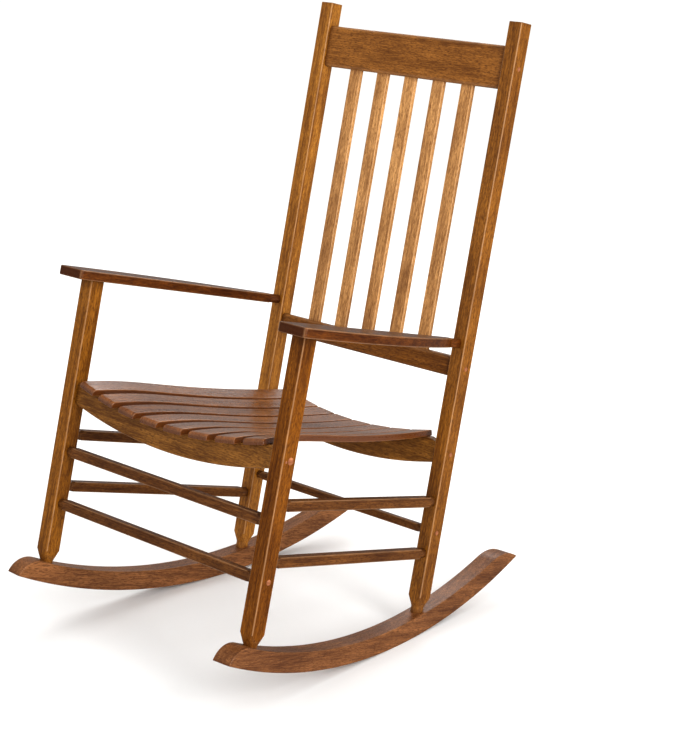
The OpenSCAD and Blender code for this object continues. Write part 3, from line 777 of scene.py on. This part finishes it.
def add(name, solid, material, node, gap_width=None):
    """Makes a solid into a piece that stands for a CAD node. Stain gathers on its end grain,
    and the sides that face a narrow gap, if its width is given, get painted shade."""
    offset = [rng.uniform(0, 3) for _ in range(3)]
    mesh = bpy.data.meshes.new(name)
    mesh.from_pydata([leaned(p) + REST for p in solid.points], [], solid.faces)
    mesh.validate()
    grain = mesh.attributes.new("grain", "FLOAT_VECTOR", "POINT")
    grain.data.foreach_set(
        "vector", [c * MM + o for g in solid.grain for c, o in zip(g, offset)])
    edge = mesh.attributes.new("edge", "FLOAT", "POINT")
    edge.data.foreach_set("value", solid.edge)
    along = [g[0] for g in solid.grain]
    first, last = min(along), max(along)
    end_stain_and_gap_shade = [max(0, 1 - min(s - first, last - s) / END_SOAK) for s in along]
    # Painted shade on the sides that face a narrow gap
    if gap_width:
        end_stain_and_gap_shade = [max(deep, 1 - (gap_width / 2 - abs(g[1])) / GAP_SHADE_REACH)
                for deep, g in zip(end_stain_and_gap_shade, solid.grain)]
    mesh.attributes.new("end_stain_and_gap_shade", "FLOAT", "POINT").data.foreach_set("value", end_stain_and_gap_shade)
    tint = mesh.attributes.new("tint", "FLOAT", "POINT")
    tint.data.foreach_set("value", [rng.random()] * len(solid.points))
    mesh.materials.append(material)
    mesh.shade_smooth()
    mesh.set_sharp_from_angle(angle=SHARP)
    piece = bpy.data.objects.new(name, mesh)
    bpy.context.scene.collection.objects.link(piece)
    normals = piece.modifiers.new("even_flats", "WEIGHTED_NORMAL")
    normals.keep_sharp = True
    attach(piece, "root")
    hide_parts(node)
    return piece


# The right posts are stained lighter than the left ones: partly the wood's own tone, partly painted
# light that makes up for the light falling on them
FRONT_POST_WOOD = {
    "left": wood("front_post_left_wood", (0.175, 0.057, 0.004), shine=0.12),
    "right": wood("front_post_right_wood", (0.225, 0.083, 0.008), shine=0.15),
}
BACK_POST_WOOD = {
    "left": wood("back_post_left_wood", (0.225, 0.084, 0.010)),
    "right": wood("back_post_right_wood", (0.360, 0.146, 0.019)),
}
rocker_wood = wood("rocker_wood", (0.215, 0.084, 0.026), shine=0.3, edge_wear_and_highlight=0.05)
crest_wood = wood("crest_wood", (0.245, 0.094, 0.016), figure=0.5, edge_wear_and_highlight=0.15)
back_rail_wood = wood("back_rail_wood", (0.170, 0.060, 0.008), edge_wear_and_highlight=0.12)
seat_rail_wood = wood("seat_rail_wood", (0.240, 0.100, 0.017), figure=1.3, edge_wear_and_highlight=0.1)
back_slat_wood = wood("back_slat_wood", (0.46, 0.228, 0.078), figure=0.7, edge_wear_and_highlight=0.5)
seat_slat_wood = wood("seat_slat_wood", (0.245, 0.083, 0.016), figure=0.8, shine=0.75, rough=0.28,
                      edge_wear_and_highlight=0.12, coat=0.25)
arm_wood = wood("arm_wood", (0.125, 0.036, 0.004), shine=0.2, rough=0.3, edge_wear_and_highlight=0.3)
stretcher_wood = wood("stretcher_wood", (0.140, 0.051, 0.010), edge_wear_and_highlight=0.25)
plug_wood = wood("plug_wood", (0.48, 0.18, 0.07), figure=0.6, shine=0.5, edge_wear_and_highlight=0.3)
screw_steel = steel()

SIDES = (("left", 1), ("right", -1))
for word, side in SIDES:
    add(f"rocker_{word}_wood", to_side(rocker(), side), rocker_wood, f"rocker_{word}")
    add(f"front_post_{word}_wood", to_side(front_post(), side), FRONT_POST_WOOD[word],
        f"front_post_{word}")
    add(f"back_post_{word}_wood", to_side(back_post(), side), BACK_POST_WOOD[word],
        f"back_post_{word}")
    add(f"arm_{word}_wood", to_side(arm(), side), arm_wood, f"arm_{word}")
    for level, z in SIDE_STRETCHER_Z.items():
        name = f"side_stretcher_{level}_{word}"
        add(f"{name}_wood", to_side(side_stretcher(z), side), stretcher_wood, name)

for level, z in FRONT_STRETCHER_Z.items():
    name = f"front_stretcher_{level}"
    add(f"{name}_wood", front_stretcher(z), stretcher_wood, name)
add("rear_stretcher_wood", rear_stretcher(), stretcher_wood, "rear_stretcher")
add("crest_rail_wood", back_rail(*CREST_RAIL), crest_wood, "crest_rail")
add("lower_back_rail_wood", back_rail(*LOWER_RAIL), back_rail_wood, "lower_back_rail")
add("seat_front_rail_wood", front_rail(), seat_rail_wood, "seat_front_rail")
add("seat_rear_rail_wood", rear_rail(), seat_rail_wood, "seat_rear_rail")
for i in range(BACK_SLATS):
    add(f"back_slat_{i + 1}_wood", back_slat(i), back_slat_wood, f"back_slat_{i + 1}")
for i in range(SEAT_SLATS):
    add(f"seat_slat_{i + 1}_wood", seat_slat(i), seat_slat_wood,
        f"seat_slat_{i + 1}", SEAT_SLAT_W)
add("front_rail_plug_heads", plugs(LARGE_PLUG_D, [on_front_post(*FRONT_PLUG)]), plug_wood,
    "front_rail_plugs")
add("front_rail_pin_heads", plugs(PIN_D, [on_front_post(*FRONT_PIN)]), plug_wood,
    "front_rail_pins")
add("stretcher_plug_heads", plugs(LOWER_PLUG_D, [on_front_post(*LOWER_PLUG)]), plug_wood,
    "stretcher_plugs")
add("back_post_plug_heads", plugs(SMALL_PLUG_D, [on_back_post(z) for z in BACK_PLUGS]),
    plug_wood, "back_post_plugs")
for node in ("joint_screws", "seat_screws"):
    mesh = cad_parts[node].data
    mesh.materials.clear()
    mesh.materials.append(screw_steel)

# ------------------------------------------------------------------ floor, light, camera

FLOOR_HALF = 30
FLOOR_CORNERS = [(x * FLOOR_HALF, y * FLOOR_HALF, 0) for x, y in ((-1, -1), (1, -1), (1, 1), (-1, 1))]
floor_mesh = bpy.data.meshes.new("floor")
floor_mesh.from_pydata(FLOOR_CORNERS, [], [(0, 1, 2, 3)])
floor = bpy.data.objects.new("floor", floor_mesh)
bpy.context.scene.collection.objects.link(floor)
paint = bpy.data.materials.new("floor_paint")
paint.use_nodes = True
paint_shader = paint.node_tree.nodes["Principled BSDF"]
paint_shader.inputs["Base Color"].default_value = (0.93, 0.93, 0.92, 1)
paint_shader.inputs["Roughness"].default_value = 0.9
floor_mesh.materials.append(paint)

# The white world lights the chair in full, and is dimmed where it is reflected, because full
# reflections of it and of the floor wash the stain out.
WORLD_LIGHT, WORLD_REFLECTED = 1.0, 0.30
world = bpy.data.worlds.new("studio")
world.use_nodes = True
sky = world.node_tree
sky.nodes.clear()
soft, dim, blend, ray, sky_out = (sky.nodes.new("ShaderNode" + kind) for kind in (
    "Background", "Background", "MixShader", "LightPath", "OutputWorld"))
soft.inputs["Strength"].default_value = WORLD_LIGHT
dim.inputs["Strength"].default_value = WORLD_REFLECTED
for shade in (soft, dim):
    shade.inputs["Color"].default_value = (1, 1, 1, 1)
sky.links.new(ray.outputs["Is Glossy Ray"], blend.inputs["Fac"])
sky.links.new(soft.outputs[0], blend.inputs[1])
sky.links.new(dim.outputs[0], blend.inputs[2])
sky.links.new(blend.outputs[0], sky_out.inputs["Surface"])
bpy.context.scene.world = world
floor.visible_glossy = False
bpy.context.scene.view_settings.view_transform = "Standard"
bpy.context.scene.view_settings.look = "Medium High Contrast"


def softbox(name, place, size, power):
    """Soft rectangular light that points at LIGHT_AIM. Metres and watts."""
    lamp = bpy.data.lights.new(name, "AREA")
    lamp.shape = "RECTANGLE"
    lamp.size, lamp.size_y = size
    lamp.energy = power
    box = bpy.data.objects.new(name, lamp)
    box.location = place
    box.rotation_euler = (LIGHT_AIM - Vector(place)).to_track_quat("-Z", "Y").to_euler()
    bpy.context.scene.collection.objects.link(box)


LIGHT_AIM = Vector((0, 0, 0.5))
softbox("side", place=(3.2, -0.6, 1.6), size=(1.0, 2.0), power=58)
softbox("back", place=(-1.6, 2.6, 2.4), size=(2.0, 1.0), power=25)

# The camera looks at TARGET, from the chair's left front
TARGET = leaned((0, 433.8, 101.8)) + REST
AZIMUTH, ELEVATION, DISTANCE = math.radians(44.8), math.radians(15.97), 4.082
SENSOR, LENS = 36, 99.96
camera = bpy.data.objects.new("camera", bpy.data.cameras.new("camera"))
camera.data.sensor_width = SENSOR
camera.data.lens = LENS
away = Vector((
    math.sin(AZIMUTH) * math.cos(ELEVATION),
    -math.cos(AZIMUTH) * math.cos(ELEVATION),
    math.sin(ELEVATION),
))
camera.location = TARGET + away * DISTANCE
camera.rotation_euler = away.to_track_quat("Z", "Y").to_euler()
bpy.context.scene.collection.objects.link(camera)
bpy.context.scene.camera = camera

bpy.context.view_layer.update()
